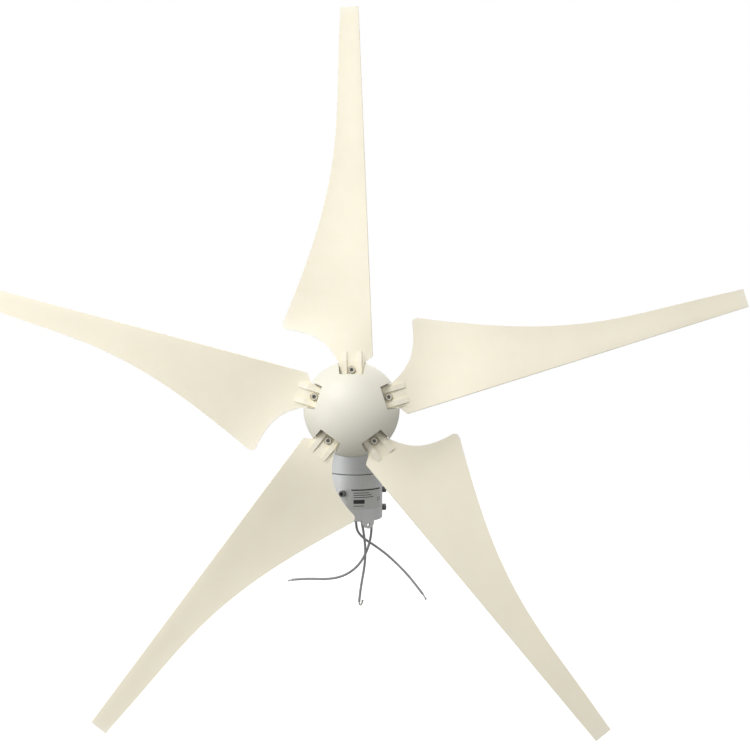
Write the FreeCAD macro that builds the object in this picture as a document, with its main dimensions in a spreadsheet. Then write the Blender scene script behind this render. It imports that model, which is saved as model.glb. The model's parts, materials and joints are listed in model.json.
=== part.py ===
import FreeCAD, Part
import math
import os
import Sketcher
from FreeCAD import Placement, Rotation, Vector

# Small five-blade wind turbine, in millimetres.
# The origin is the centre of the pole stop inside the pole sleeve, +Z is the yaw axis and the
# rotor faces -Y. Pieces on the rotor axis are drawn in the rotor's own frame: its origin is the
# hub centre, its Z runs downstream along the shaft, its X is the turbine's X and its Y points down.

DRIVING = {
    # layout
    "tilt": 8.5, "overhang": 112, "hub_height": 126.7, "blade_count": 5,
    # nose cone
    "dome_r": 70.8, "dome_reach": 42, "dome_edge": 3, "dome_rim": 9, "dome_wall": 2.5,
    "notch_half": 17.3, "notch_mouth_half": 21.8, "notch_inner": 50.4, "notch_outer": 80,
    "root_door_half": 17, "dome_screw_circle": 58, "dome_rim_round": 9,
    # hub
    "hub_plate_r": 66, "hub_front": 3, "hub_back": 15, "hub_boss_r": 16, "hub_boss_back": 19,
    "outer_bolt_circle": 57.8, "inner_bolt_circle": 37, "clamp_r": 47, "clamp_bore": 16,
    "clamp_thick": 3,
    # blade
    "tongue_half": 16.3, "tongue_wide_half": 18.3, "tongue_thick": 6, "tongue_inner": 28,
    "rib_inner_edge": 7.3, "rib_wide": 7.5, "rib_high": 3, "rib_end": 85,
    "rib_ramp": 14,
    "head_seat_r": 6.2, "head_seat_deep": 2,
    # M6 cap screws
    "bolt_r": 3, "bolt_hole": 3.2, "bolt_head_r": 5, "bolt_head_high": 6, "bolt_hex_r": 2.9,
    # main shaft and its ball bearings
    "shaft_r": 8.5, "shaft_core_r": 11, "hub_seat_r": 7.5, "shaft_thread_r": 6.9,
    "front_bearing": 27, "rear_bearing": 77, "bearing_wide": 12, "bearing_outer": 20,
    # generator
    "stack_front": 43, "stack_back": 73, "stator_r": 57, "stator_bore": 35.2, "yoke_r": 48,
    "magnet_r": 34.4, "magnet_thick": 4.4, "tooth_count": 12, "pole_count": 10,
    "tie_bolt_circle": 52.7,
    # nacelle
    "drum_r": 62, "drum_front": 20, "drum_back": 168, "drum_bore": 58.5, "plate_seat": 79,
    "plate_thick": 8, "cover_screw": 162,
    # tail
    "boom_r": 12.5, "boom_bore": 9.5, "boom_front": 190, "boom_back": 430, "fin_thick": 3,
    "fin_slot": 345, "boom_bolt": 208.8,
    # yaw neck, its shaft and its ball bearings
    "neck_r": 43, "neck_bottom": 18.2, "neck_blend": 6,
    "yaw_bore": 27.5, "yaw_lip": 24, "turret_r": 32, "turret_top": 70,
    "yaw_shaft_r": 15, "yaw_shaft_bore": 9, "yaw_shoulder_r": 18.5,
    "lower_bearing": 24, "upper_bearing": 54, "yaw_bearing_wide": 13, "yaw_shaft_top": 76,
    # slip rings and brushes
    "slip_core_r": 14, "slip_ring_r": 16.5, "slip_core_top": 106, "slip_first": 83,
    "slip_pitch": 9, "slip_wide": 6, "brush_half": 2.4, "brush_front": 16.55, "brush_back": 28,
    "holder_front": 22, "holder_back": 41, "holder_wall": 38.5,
    # pole sleeve
    "sleeve_r": 43, "sleeve_top": 17, "sleeve_bottom": -54.5, "pole_bore": 38.2,
    "cup_r": 28, "cup_floor": 10, "lead_hole": 12, "tab_r": 10, "tab_tip": -66,
    "tab_hole_r": 2.75, "tab_hole_z": -60.5, "tab_angle": 33, "clamp_angle": -21.8,
    "upper_clamp": -11.2, "lower_clamp": -39.3,
    # label
    "label_top": -3.3, "label_bottom": -35.6, "label_from": -15.5, "label_to": 69,
    "label_thick": 0.3,
    # leads
    "lead_r": 1.9, "grommet_r": 14, "grommet_lip": 2.5, "grommet_top": 6,
}

# How far each blade is set from its fifth of a turn, clockwise from the front, in degrees.
BLADE_SET = (-0.9, 2.0, -2.4, 2.2, -1.5)

# Blade stations: distance from the axis, trailing edge, leading edge, pitch, thickness.
STATIONS = (
    (40, -139, 31.6, 0, 4.2),
    (75, -126.5, 30.6, 0.5, 4.2),
    (124, -105.8, 29.2, 8.5, 4.6),
    (193, -77, 27.0, 11, 4.8),
    (266, -50.6, 24.8, 9.5, 4.5),
    (340, -31.3, 22.6, 7.5, 4.1),
    (413, -20.8, 20.3, 6, 3.7),
    (487, -16.9, 18.1, 5, 3.3),
    (561, -13.9, 15.9, 4, 2.9),
    (600, -12.3, 14.7, 3.5, 2.7),
)

# The three leads' routes, from the grommet down through the pole socket.
LEADS = (
    ((-5, 4, 0), (-5, 4, -21), (-1.2, 1.6, -42), (2, 0, -62), (3.5, 0, -76.5),
     (13, 0, -87.8), (31.5, 0, -99.6), (49.5, 1, -113), (66, 2, -128.5), (81, 3, -144),
     (94.5, 3, -160.5), (107, 3, -177)),
    ((5, -5, 0), (5, -5, -22.5), (8.6, -8.2, -46.5), (13.2, -9.5, -70), (16.3, -9, -92),
     (17.2, -8, -112), (15.6, -8, -132), (12, -8.5, -152.5), (9, -9, -171), (7.4, -8, -187.5)),
    ((4, 6, 0), (4, 6, -20), (18, 9, -42), (26.3, 10.5, -64), (25.5, 10.5, -86),
     (20.3, 10, -107), (10.2, 10, -127.6), (-4, 10, -142.6), (-22, 9.5, -152.2),
     (-43, 9.5, -155.9), (-65, 10, -155.6), (-83.5, 10, -155.8), (-100, 10, -157.6)),
)

doc = FreeCAD.newDocument("wind_turbine")
sheet = doc.addObject("Spreadsheet::Sheet", "Sizes")


class Size:
    """A length that carries both its value and its expression on the sheet."""

    def __init__(self, value, text=None):
        self.value = value
        self.text = text if text is not None else repr(value)

    def __add__(self, other):
        other = size_of(other)
        return Size(self.value + other.value, f"({self.text} + {other.text})")

    def __sub__(self, other):
        other = size_of(other)
        return Size(self.value - other.value, f"({self.text} - {other.text})")

    def __mul__(self, factor):
        return Size(self.value * factor, f"({self.text} * {factor})")

    def __neg__(self):
        return Size(-self.value, f"(-1 * {self.text})")

    __radd__ = __add__


class Sheet:
    """Gives each driving dimension as a Size bound to its cell."""

    def __getattr__(self, name):
        return Size(DRIVING[name], f"Sizes.{name}")


def size_of(x):
    return x if isinstance(x, Size) else Size(x)


def bind(obj, prop, x):
    x = size_of(x)
    obj.setExpression(prop, x.text)


for row, (alias, number) in enumerate(DRIVING.items(), 1):
    sheet.set(f"A{row}", alias.replace("_", " "))
    sheet.set(f"B{row}", str(number))
    sheet.setAlias(f"B{row}", alias)
doc.recompute()
S = Sheet()

HUB = Vector(0, -DRIVING["overhang"], DRIVING["hub_height"])
ROTOR = Placement(HUB, Rotation(Vector(1, 0, 0), -90 - DRIVING["tilt"]))
WORLD = Placement()
nodes = {}


# ---------------------------------------------------------------- document helpers

def add(kind, label):
    obj = doc.addObject(kind, label)
    obj.Label = label
    return obj


def node(obj, label, frame=WORLD):
    """Makes obj the sub-part called label, in the rotor's frame or the turbine's own."""
    obj.Label = label
    if frame is ROTOR:
        obj.Placement = ROTOR * obj.Placement
        if obj.Placement.Base.isEqual(HUB, 1e-6):
            bind(obj, "Placement.Base.y", -S.overhang)
            bind(obj, "Placement.Base.z", S.hub_height)
    nodes[label] = obj
    return obj


def turned(label, profile):
    """A body turned about Z from a closed profile of (radius, height) corners."""
    body = add("PartDesign::Body", label)
    plane = next(f for f in body.Origin.OriginFeatures if f.Role == "XZ_Plane")
    sketch = body.newObject("Sketcher::SketchObject", label + "_profile")
    sketch.AttachmentSupport = [(plane, "")]
    sketch.MapMode = "FlatFace"
    corners = [(size_of(r), size_of(h)) for r, h in profile]
    count = len(corners)
    for i, (r, h) in enumerate(corners):
        r2, h2 = corners[(i + 1) % count]
        line = Part.LineSegment(Vector(r.value, h.value, 0), Vector(r2.value, h2.value, 0))
        sketch.addGeometry(line, False)
    for i in range(count):
        sketch.addConstraint(Sketcher.Constraint("Coincident", i, 2, (i + 1) % count, 1))
    for i, (r, h) in enumerate(corners):
        for axis, size, line in (("X", r, -2), ("Y", h, -1)):
            if size.value == 0:
                sketch.addConstraint(Sketcher.Constraint("PointOnObject", i, 1, line))
                continue
            rule = Sketcher.Constraint("Distance" + axis, -1, 1, i, 1, size.value)
            k = sketch.addConstraint(rule)
            sketch.setExpression(f"Constraints[{k}]", size.text)
    turn = body.newObject("PartDesign::Revolution", label + "_turn")
    turn.Profile = sketch
    turn.ReferenceAxis = (sketch, ["V_Axis"])
    turn.Angle = 360
    return body


def cylinder(label, radius, height, place=WORLD, angle=None):
    obj = add("Part::Cylinder", label)
    bind(obj, "Radius", radius)
    bind(obj, "Height", height)
    if angle is not None:
        bind(obj, "Angle", angle)
    obj.Placement = place
    return obj


def box(label, low, high, place=WORLD):
    """A box between two corners, turned or moved afterwards by place."""
    low = [size_of(x) for x in low]
    high = [size_of(x) for x in high]
    obj = add("Part::Box", label)
    for prop, a, b in zip(("Length", "Width", "Height"), low, high):
        bind(obj, prop, b - a)
    corner = Vector(*[x.value for x in low])
    obj.Placement = place * Placement(corner, Rotation())
    return obj


def fuse(label, parts):
    obj = add("Part::MultiFuse", label)
    obj.Shapes = parts
    return obj


def common(label, parts):
    obj = add("Part::MultiCommon", label)
    obj.Shapes = parts
    return obj


def group(label, parts):
    obj = add("Part::Compound", label)
    obj.Links = parts
    return obj


def cut(label, base, tools):
    obj = add("Part::Cut", label)
    obj.Base = base
    obj.Tool = tools[0] if len(tools) == 1 else fuse(label + "_tools", tools)
    return obj


def around(angle, place=WORLD):
    """place, turned by angle degrees about Z."""
    return Placement(Vector(), Rotation(Vector(0, 0, 1), angle)) * place


def at(x, y, z, axis=Vector(0, 0, 1), angle=0):
    values = [size_of(c).value for c in (x, y, z)]
    return Placement(Vector(*values), Rotation(axis, angle))


def each(count, offset=0):
    return [(i, offset + 360.0 * i / count) for i in range(count)]


BLADE_TURNS = each(DRIVING["blade_count"])
BETWEEN_TURNS = each(DRIVING["blade_count"], 36)


def hex_prism(label, across_corners, height, place):
    obj = add("Part::Prism", label)
    obj.Polygon = 6
    bind(obj, "Circumradius", across_corners)
    bind(obj, "Height", height)
    obj.Placement = place
    return obj


def cap_screw(label, place, length, shank=None, head=None, high=None, socket=None):
    """A socket cap screw whose head's underside is at place, with its shank along +Z."""
    shank = S.bolt_r if shank is None else shank
    head = S.bolt_head_r if head is None else head
    high = S.bolt_head_high if high is None else high
    socket = S.bolt_hex_r if socket is None else socket
    profile = [(0, -high), (head - 0.6, -high), (head, -high + 0.6), (head, 0), (shank, 0),
               (shank, length), (0, length)]
    screw = turned(label + "_blank", profile)
    deep = high * 0.55
    bore = hex_prism(label + "_socket", socket, deep, at(0, 0, -high))
    obj = cut(label, screw, [bore])
    obj.Placement = place
    return obj


# ---------------------------------------------------------------- rotor

def nose_cone():
    """A shallow dome with five recesses for the blade roots and five screw bosses inside."""
    reach = DRIVING["dome_reach"]
    edge = DRIVING["dome_edge"]
    rise = reach - edge
    ball_r = (DRIVING["dome_r"] ** 2 + rise ** 2) / (2 * rise)
    centre = ball_r - reach
    front = -reach - 2
    seam = -18  # the barrel closes in the middle of a notch

    def cap(label, radius, wall):
        ball = add("Part::Sphere", label + "_ball")
        bind(ball, "Radius", size_of(ball_r) - wall)
        ball.Placement = at(0, 0, centre, Vector(0, 1, 0), -90)
        barrel = cylinder(label + "_barrel", radius - wall, S.dome_rim - front,
                          around(seam, at(0, 0, front)))
        return common(label, [ball, barrel])

    outer = cap("dome_outer", S.dome_r, 0)
    doc.recompute()
    rounded = add("Part::Fillet", "dome_rounded")
    rounded.Base = outer
    rim = [i for i, e in enumerate(outer.Shape.Edges, 1)
           if e.BoundBox.ZLength < 0.01 and abs(e.CenterOfMass.z + edge) < 1]
    rim_round = DRIVING["dome_rim_round"]
    rounded.Edges = [(i, rim_round, rim_round) for i in rim]
    inner = cap("dome_inner", S.dome_r, S.dome_wall)
    shell = cut("dome_shell", rounded, [inner])

    def flared(label, extra, low, high, turn):
        """A block over one notch, extra wider on every side, that widens outwards."""
        block = add("Part::Wedge", label)
        mouth = S.notch_mouth_half + extra
        half = S.notch_half + extra
        for prop, size in (("Xmin", -mouth), ("Xmax", mouth), ("X2min", -half), ("X2max", half),
                           ("Ymin", -S.notch_outer), ("Ymax", -S.notch_inner + extra),
                           ("Zmin", low), ("Zmax", high), ("Z2min", low), ("Z2max", high)):
            bind(block, prop, size)
        block.Placement = around(turn)
        return block

    liners = []
    notches = []
    bosses = []
    holes = []
    for i, turn in BLADE_TURNS:
        liners.append(flared(f"dome_liner_{i}", 2, front, S.hub_front - 0.5, turn))
        notches.append(flared(f"dome_notch_{i}", 0, front, S.dome_rim + 1, turn))
        notches.append(box(f"dome_root_door_{i}", (-S.root_door_half, -S.notch_inner - 3, -7),
                           (S.root_door_half, -S.notch_inner + 4, S.dome_rim + 1), around(turn)))
    for i, turn in BETWEEN_TURNS:
        spot = around(turn, at(0, -S.dome_screw_circle, -26))
        bosses.append(cylinder(f"dome_boss_{i}", 4.5, S.hub_front + 26, spot))
        holes.append(cylinder(f"dome_boss_hole_{i}", 2.05, 14, around(
            turn, at(0, -S.dome_screw_circle, S.hub_front - 12))))
    inside = common("dome_inside", [rounded, fuse("dome_webs", liners + bosses)])
    whole = fuse("dome_with_webs", [shell, inside])
    return node(cut("nose_cone", whole, notches + holes), "nose_cone", ROTOR)


def hub():
    """The hub plate, its clamp ring and the nut that holds it on the shaft."""
    plate = turned("hub_plate_blank", [
        (S.hub_seat_r, S.hub_front), (S.hub_plate_r - 1, S.hub_front),
        (S.hub_plate_r, S.hub_front + 1), (S.hub_plate_r, S.hub_back - 1),
        (S.hub_plate_r - 1, S.hub_back), (S.hub_boss_r, S.hub_back),
        (S.hub_boss_r, S.hub_boss_back), (S.hub_seat_r, S.hub_boss_back)])
    depth = S.hub_back - S.hub_front + 2
    holes = []
    for i, turn in BLADE_TURNS:
        for ring, name in ((S.outer_bolt_circle, "outer"), (S.inner_bolt_circle, "inner")):
            spot = around(turn, at(0, -ring, S.hub_front - 1))
            holes.append(cylinder(f"hub_{name}_hole_{i}", S.bolt_r + 0.05, depth, spot))
    for i, turn in BETWEEN_TURNS:
        spot = around(turn, at(0, -S.dome_screw_circle, S.hub_front - 1))
        holes.append(cylinder(f"hub_dome_hole_{i}", 2.2, depth, spot))
    keyway = box("hub_keyway", (-2.5, 0, S.hub_front - 1), (2.5, 9.6, S.hub_boss_back + 1))
    node(cut("hub_plate", plate, holes + [keyway]), "hub_plate", ROTOR)

    key = box("hub_key_blank", (-2.45, 5.6, S.hub_front + 0.5), (2.45, 9.5, S.hub_back))
    node(key, "hub_key", ROTOR)

    front = -S.tongue_thick * 0.5 - S.rib_high
    ring = turned("clamp_ring_blank", [
        (S.clamp_bore, front - S.clamp_thick), (S.clamp_r - 1, front - S.clamp_thick),
        (S.clamp_r, front - S.clamp_thick + 1), (S.clamp_r, front), (S.clamp_bore, front)])
    holes = [cylinder(f"clamp_hole_{i}", S.bolt_hole, 8, around(
        turn, at(0, -S.inner_bolt_circle, front - S.clamp_thick - 2))) for i, turn in BLADE_TURNS]
    node(cut("blade_clamp_ring", ring, holes), "blade_clamp_ring", ROTOR)

    outer = []
    inner = []
    head_seat = -S.tongue_thick * 0.5 + S.head_seat_deep
    for i, turn in BLADE_TURNS:
        spot = around(turn, at(0, -S.outer_bolt_circle, head_seat))
        outer.append(cap_screw(f"outer_blade_bolt_{i}", spot, S.hub_back - head_seat - 1))
        spot = around(turn, at(0, -S.inner_bolt_circle, front - S.clamp_thick))
        inner.append(cap_screw(f"inner_blade_bolt_{i}", spot,
                               S.hub_back - front + S.clamp_thick - 1))
    node(group("outer_blade_bolts", outer), "outer_blade_bolts", ROTOR)
    node(group("inner_blade_bolts", inner), "inner_blade_bolts", ROTOR)

    screws = [cap_screw(f"nose_cone_screw_{i}", around(
        turn, at(0, -S.dome_screw_circle, S.hub_back, Vector(1, 0, 0), 180)),
        S.hub_back - S.hub_front + 9, 2, 3.4, 2.2, 1.6) for i, turn in BETWEEN_TURNS]
    node(group("nose_cone_screws", screws), "nose_cone_screws", ROTOR)

    washer = turned("hub_washer", [
        (S.hub_seat_r, S.hub_front - 2.5), (13.5, S.hub_front - 2.5), (13.5, S.hub_front),
        (S.hub_seat_r, S.hub_front)])
    node(washer, "hub_washer", ROTOR)
    nut = hex_prism("hub_nut_blank", 12.7, 10, at(0, 0, S.hub_front - 12.5))
    bore = cylinder("hub_nut_bore", S.shaft_thread_r + 0.05, 14, at(0, 0, S.hub_front - 14))
    node(cut("hub_nut", nut, [bore]), "hub_nut", ROTOR)


def fraction(points, x):
    """Straight-line value at x between the (x, value) points."""
    for (x0, v0), (x1, v1) in zip(points, points[1:]):
        if x <= x1:
            return v0 + (v1 - v0) * (x - x0) / (x1 - x0)
    return points[-1][1]


THICKNESS_SHAPE = ((0.0, 0.42), (0.12, 0.82), (0.32, 1.0), (0.65, 0.78), (1.0, 0.34))
CAMBER = 0.03


def blade_section(station):
    """One closed aerofoil section: front spline, round nose, back spline, blunt tail."""
    out, tail, lead, pitch, thick = station
    chord = lead - tail
    slope = math.tan(math.radians(pitch))

    def point(x, side):
        across = lead - x * chord
        bend = 4 * CAMBER * chord * x * (1 - x) if out > 80 else 0
        half = 0.5 * thick * fraction(THICKNESS_SHAPE, x)
        return Vector(across, -out, bend + side * half - across * slope)

    stops = [p[0] for p in THICKNESS_SHAPE]
    front = [point(x, -1) for x in reversed(stops)]
    back = [point(x, 1) for x in stops]
    nose = point(0, 0) + Vector(0.21 * thick, 0, 0)
    faces = []
    for run in (front, back):
        spline = Part.BSplineCurve()
        spline.interpolate(run)
        faces.append(spline.toShape())
    round_nose = Part.Arc(front[-1], nose, back[0]).toShape()
    blunt_tail = Part.LineSegment(back[-1], front[0]).toShape()
    return Part.Wire([faces[0], round_nose, faces[1], blunt_tail])


def root_outline():
    """The face that keeps the blade's root shape: tongue, curved root edge, round corner."""
    half = DRIVING["tongue_half"]
    wide = DRIVING["tongue_wide_half"]
    inner = DRIVING["tongue_inner"]
    corner = Vector(-106, -121.2, 0)
    along_root = Vector(1, 0.087, 0).normalize()
    along_tail = Vector(0.381, -0.924, 0).normalize()
    radius = 7
    half_angle = along_root.getAngle(along_tail) / 2
    reach = radius / math.tan(half_angle)
    bisector = (along_root + along_tail).normalize()
    start = corner + along_root * reach
    end = corner + along_tail * reach
    middle = corner + bisector * (radius / math.sin(half_angle) - radius)
    curve = Part.BSplineCurve()
    curve.interpolate([Vector(-wide, -66.5, 0), Vector(-21.6, -73, 0), Vector(-31.6, -88.4, 0),
                       Vector(-45.5, -102.2, 0), Vector(-67, -113.4, 0), start])
    edges = [curve.toShape(), Part.Arc(start, middle, end).toShape()]
    rest = [end, Vector(-170, -150, 0), Vector(-170, -620, 0), Vector(70, -620, 0),
            Vector(70, -79.5, 0), Vector(31.6, -78.6, 0), Vector(29.6, -76.2, 0),
            Vector(19.8, -69.2, 0), Vector(wide, -66.5, 0), Vector(half, -52, 0),
            Vector(half, -inner, 0), Vector(-half, -inner, 0), Vector(-half, -52, 0),
            Vector(-wide, -66.5, 0)]
    for a, b in zip(rest, rest[1:]):
        edges.append(Part.LineSegment(a, b).toShape())
    return Part.Face(Part.Wire(edges))


def slab(profile, left, right):
    """A prism whose (distance from the axis, depth) profile runs from left to right."""
    points = [Vector(left, -out, depth) for out, depth in profile]
    wire = Part.makePolygon(points + points[:1])
    return Part.Face(wire).extrude(Vector(right - left, 0, 0))


def blade_shape():
    """One moulded blade, pointing up, in the rotor's frame."""
    skin = Part.makeLoft([blade_section(s) for s in STATIONS], True, False)
    keep = root_outline().extrude(Vector(0, 0, 160))
    keep.translate(Vector(0, 0, -80))
    wide = DRIVING["tongue_wide_half"]
    thick = DRIVING["tongue_thick"] / 2
    inner = DRIVING["tongue_inner"]
    end = DRIVING["rib_end"]
    high = thick + DRIVING["rib_high"]
    ramp = end - DRIVING["rib_ramp"]
    tongue = slab([(inner, -thick), (ramp, -thick), (end, -1.4), (end, 1.8), (ramp, thick),
                   (inner, thick)], -wide, wide)
    ribs = []
    for side in (-1, 1):
        a = side * DRIVING["rib_inner_edge"]
        b = side * (DRIVING["rib_inner_edge"] + DRIVING["rib_wide"])
        ribs.append(slab([(inner, -high), (ramp, -high), (end, -2.6), (end, -1), (inner, -1)],
                         min(a, b), max(a, b)))
    whole = skin.common(keep).fuse([tongue.common(keep)] + ribs).removeSplitter()
    head_seat = DRIVING["head_seat_deep"] - thick
    drills = [Part.makeCylinder(DRIVING["head_seat_r"], 20 + head_seat,
                                Vector(0, -DRIVING["outer_bolt_circle"], -20), Vector(0, 0, 1))]
    for ring, radius in ((DRIVING["outer_bolt_circle"], DRIVING["bolt_hole"]),
                         (DRIVING["inner_bolt_circle"], DRIVING["bolt_hole"] + 1)):
        drills.append(Part.makeCylinder(radius, 40, Vector(0, -ring, -20), Vector(0, 0, 1)))
    whole = whole.cut(drills)
    return whole.Solids[0] if len(whole.Solids) == 1 else whole


def blades():
    shape = blade_shape()
    pivot = Vector(0, -DRIVING["outer_bolt_circle"], 0)
    for i, turn in BLADE_TURNS:
        setting = Placement(Vector(), Rotation(Vector(0, 0, 1), BLADE_SET[i]), pivot)
        obj = add("Part::Feature", f"blade_{i + 1}")
        obj.Shape = shape.copy()
        obj.Placement = ROTOR * around(turn) * setting
        nodes[obj.Label] = obj


def main_shaft():
    rear = S.rear_bearing + S.bearing_wide
    blank = turned("main_shaft_blank", [
        (0, -13), (S.shaft_thread_r - 1, -13), (S.shaft_thread_r, -12),
        (S.shaft_thread_r, S.hub_front), (S.hub_seat_r, S.hub_front),
        (S.hub_seat_r, S.hub_boss_back), (S.shaft_r, S.hub_boss_back),
        (S.shaft_r, S.front_bearing + S.bearing_wide),
        (S.shaft_core_r, S.front_bearing + S.bearing_wide),
        (S.shaft_core_r, S.rear_bearing), (S.shaft_r, S.rear_bearing),
        (S.shaft_r, rear + 0.2), (S.shaft_r - 0.5, rear + 0.2), (S.shaft_r - 0.5, rear + 1.2),
        (S.shaft_r, rear + 1.2), (S.shaft_r - 0.5, rear + 2), (0, rear + 2)])
    keyway = box("shaft_keyway", (-2.5, 5.5, S.hub_front + 0.4), (2.5, 9, S.hub_back + 0.1))
    node(cut("main_shaft", blank, [keyway]), "main_shaft", ROTOR)

    clip = turned("circlip_blank", [
        (S.shaft_r - 0.45, rear + 0.25), (S.shaft_r + 2.5, rear + 0.25),
        (S.shaft_r + 2.5, rear + 1.15), (S.shaft_r - 0.45, rear + 1.15)])
    gap = box("circlip_gap", (-2.5, 0, rear - 1), (2.5, 14, rear + 3))
    node(cut("shaft_circlip", clip, [gap]), "shaft_circlip", ROTOR)


def ball_bearing(name, bore, outer, front, wide, balls, ball_r, frame):
    """Inner ring in one node; outer ring and its balls in another."""
    bore = size_of(bore)
    outer = size_of(outer)
    half = size_of(wide) * 0.5
    pitch = (bore.value + outer.value) / 2
    lip = 0.62 * ball_r
    middle = at(0, 0, size_of(front) + half)
    inner_ring = turned(name + "_inner_blank", [
        (bore, -half), (pitch - lip, -half), (pitch - lip, half), (bore, half)])
    outer_ring = turned(name + "_outer_blank", [
        (pitch + lip, -half), (outer, -half), (outer, half), (pitch + lip, half)])
    rings = []
    for ring, blank in (("inner", inner_ring), ("outer", outer_ring)):
        track = add("Part::Torus", f"{name}_{ring}_track")
        track.Radius1 = pitch
        track.Radius2 = ball_r + 0.1
        track.Placement = around(15)
        rings.append(cut(f"{name}_{ring}_ring", blank, [track]))
    loose = []
    for i, turn in each(balls):
        ball = add("Part::Sphere", f"{name}_ball_{i}")
        ball.Radius = ball_r
        ball.Placement = around(turn, at(0, -pitch, 0))
        loose.append(ball)
    inner = node(rings[0], name + "_inner")
    inner.Placement = frame * middle
    outer_set = node(group(name + "_outer_set", [rings[1]] + loose), name + "_outer")
    outer_set.Placement = frame * middle


def generator():
    """Stator stack and coils, magnet rotor, rear bearing plate and its tie bolts."""
    front, back = S.stack_front, S.stack_back
    teeth = DRIVING["tooth_count"]
    yoke = turned("stator_yoke", [
        (S.yoke_r, front), (S.stator_r, front), (S.stator_r, back), (S.yoke_r, back)])
    shoes = turned("stator_shoes", [
        (S.stator_bore, front), (S.stator_bore + 2.7, front), (S.stator_bore + 2.7, back),
        (S.stator_bore, back)])
    stems = [box(f"stator_stem_{i}", (-4.6, -S.yoke_r - 1, front), (4.6, -S.stator_bore - 1.5, back),
                 around(turn)) for i, turn in each(teeth)]
    slots = [box(f"stator_slot_{i}", (-1.5, -S.stator_bore - 5, front - 1),
                 (1.5, -S.stator_bore + 5, back + 1), around(turn))
             for i, turn in each(teeth, 180.0 / teeth)]
    ties = each(4, 45)
    tie_holes = [cylinder(f"stator_tie_hole_{i}", 2.2, back - front + 2, around(
        turn, at(0, -S.tie_bolt_circle, front - 1))) for i, turn in ties]
    stack = fuse("stator_iron", [yoke, shoes] + stems)
    node(cut("stator_core", stack, slots + tie_holes), "stator_core", ROTOR)

    coils = []
    for i, turn in each(teeth):
        outside = box(f"coil_outside_{i}", (-8.7, -S.yoke_r + 1.2, front - 5),
                      (8.7, -S.stator_bore - 4.6, back + 5), around(turn))
        inside = box(f"coil_inside_{i}", (-4.8, -S.yoke_r - 1, front - 0.4),
                     (4.8, -S.stator_bore - 3, back + 0.4), around(turn))
        soft = add("Part::Fillet", f"coil_soft_{i}")
        soft.Base = outside
        doc.recompute()
        ends = [k for k, e in enumerate(outside.Shape.Edges, 1)
                if e.Length < 18 and e.BoundBox.ZLength < 0.01 and abs(e.Length - 17.4) > 1]
        soft.Edges = [(k, 3, 3) for k in ends]
        coils.append(cut(f"coil_{i}", soft, [inside]))
    node(group("stator_windings", coils), "stator_windings", ROTOR)

    carrier = turned("magnet_carrier_blank", [
        (S.shaft_core_r, front), (S.magnet_r - S.magnet_thick, front),
        (S.magnet_r - S.magnet_thick, back), (S.shaft_core_r, back)])
    windows = [cylinder(f"carrier_window_{i}", 4.5, back - front + 2, around(
        turn, at(0, -20.5, front - 1))) for i, turn in each(6)]
    node(cut("magnet_carrier", carrier, windows), "magnet_carrier", ROTOR)

    poles = DRIVING["pole_count"]
    band = turned("magnet_band", [
        (S.magnet_r - S.magnet_thick, front + 0.5), (S.magnet_r, front + 0.5),
        (S.magnet_r, back - 0.5), (S.magnet_r - S.magnet_thick, back - 0.5)])
    gaps = [box(f"magnet_gap_{i}", (-1.4, -S.magnet_r - 2, front - 1),
                (1.4, -S.magnet_r + 8, back + 1), around(turn)) for i, turn in each(poles)]
    node(cut("rotor_magnets", band, gaps), "rotor_magnets", ROTOR)

    seat = S.plate_seat
    wall = seat + S.plate_thick
    plate = turned("bearing_plate_blank", [
        (13, S.rear_bearing - 2), (24, S.rear_bearing - 2), (24, seat), (S.drum_bore, seat),
        (S.drum_bore, wall), (24, wall), (24, S.rear_bearing + S.bearing_wide),
        (S.bearing_outer, S.rear_bearing + S.bearing_wide), (S.bearing_outer, S.rear_bearing),
        (13, S.rear_bearing)])
    holes = [cylinder(f"plate_tie_hole_{i}", 2.2, 12, around(
        turn, at(0, -S.tie_bolt_circle, seat - 1))) for i, turn in ties]
    vents = [cylinder(f"plate_vent_{i}", 8, 12, around(turn, at(0, -37, seat - 1)))
             for i, turn in each(6, 30)]
    node(cut("bearing_plate", plate, holes + vents), "bearing_plate", ROTOR)
    bolts = [cap_screw(f"tie_bolt_{i}", around(
        turn, at(0, -S.tie_bolt_circle, wall, Vector(1, 0, 0), 180)),
        wall - front + 11, 2, 3.5, 4, 1.7) for i, turn in ties]
    node(group("bearing_plate_bolts", bolts), "bearing_plate_bolts", ROTOR)

    seal = turned("shaft_seal", [
        (S.shaft_r + 3, S.drum_front + 0.8), (14, S.drum_front + 0.8),
        (14, S.front_bearing - 0.8), (12, S.front_bearing - 0.8), (12, S.drum_front + 2.6),
        (S.shaft_r + 1.2, S.drum_front + 5), (S.shaft_r + 0.1, S.drum_front + 3.6)])
    node(seal, "shaft_seal", ROTOR)


# ---------------------------------------------------------------- nacelle

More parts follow.
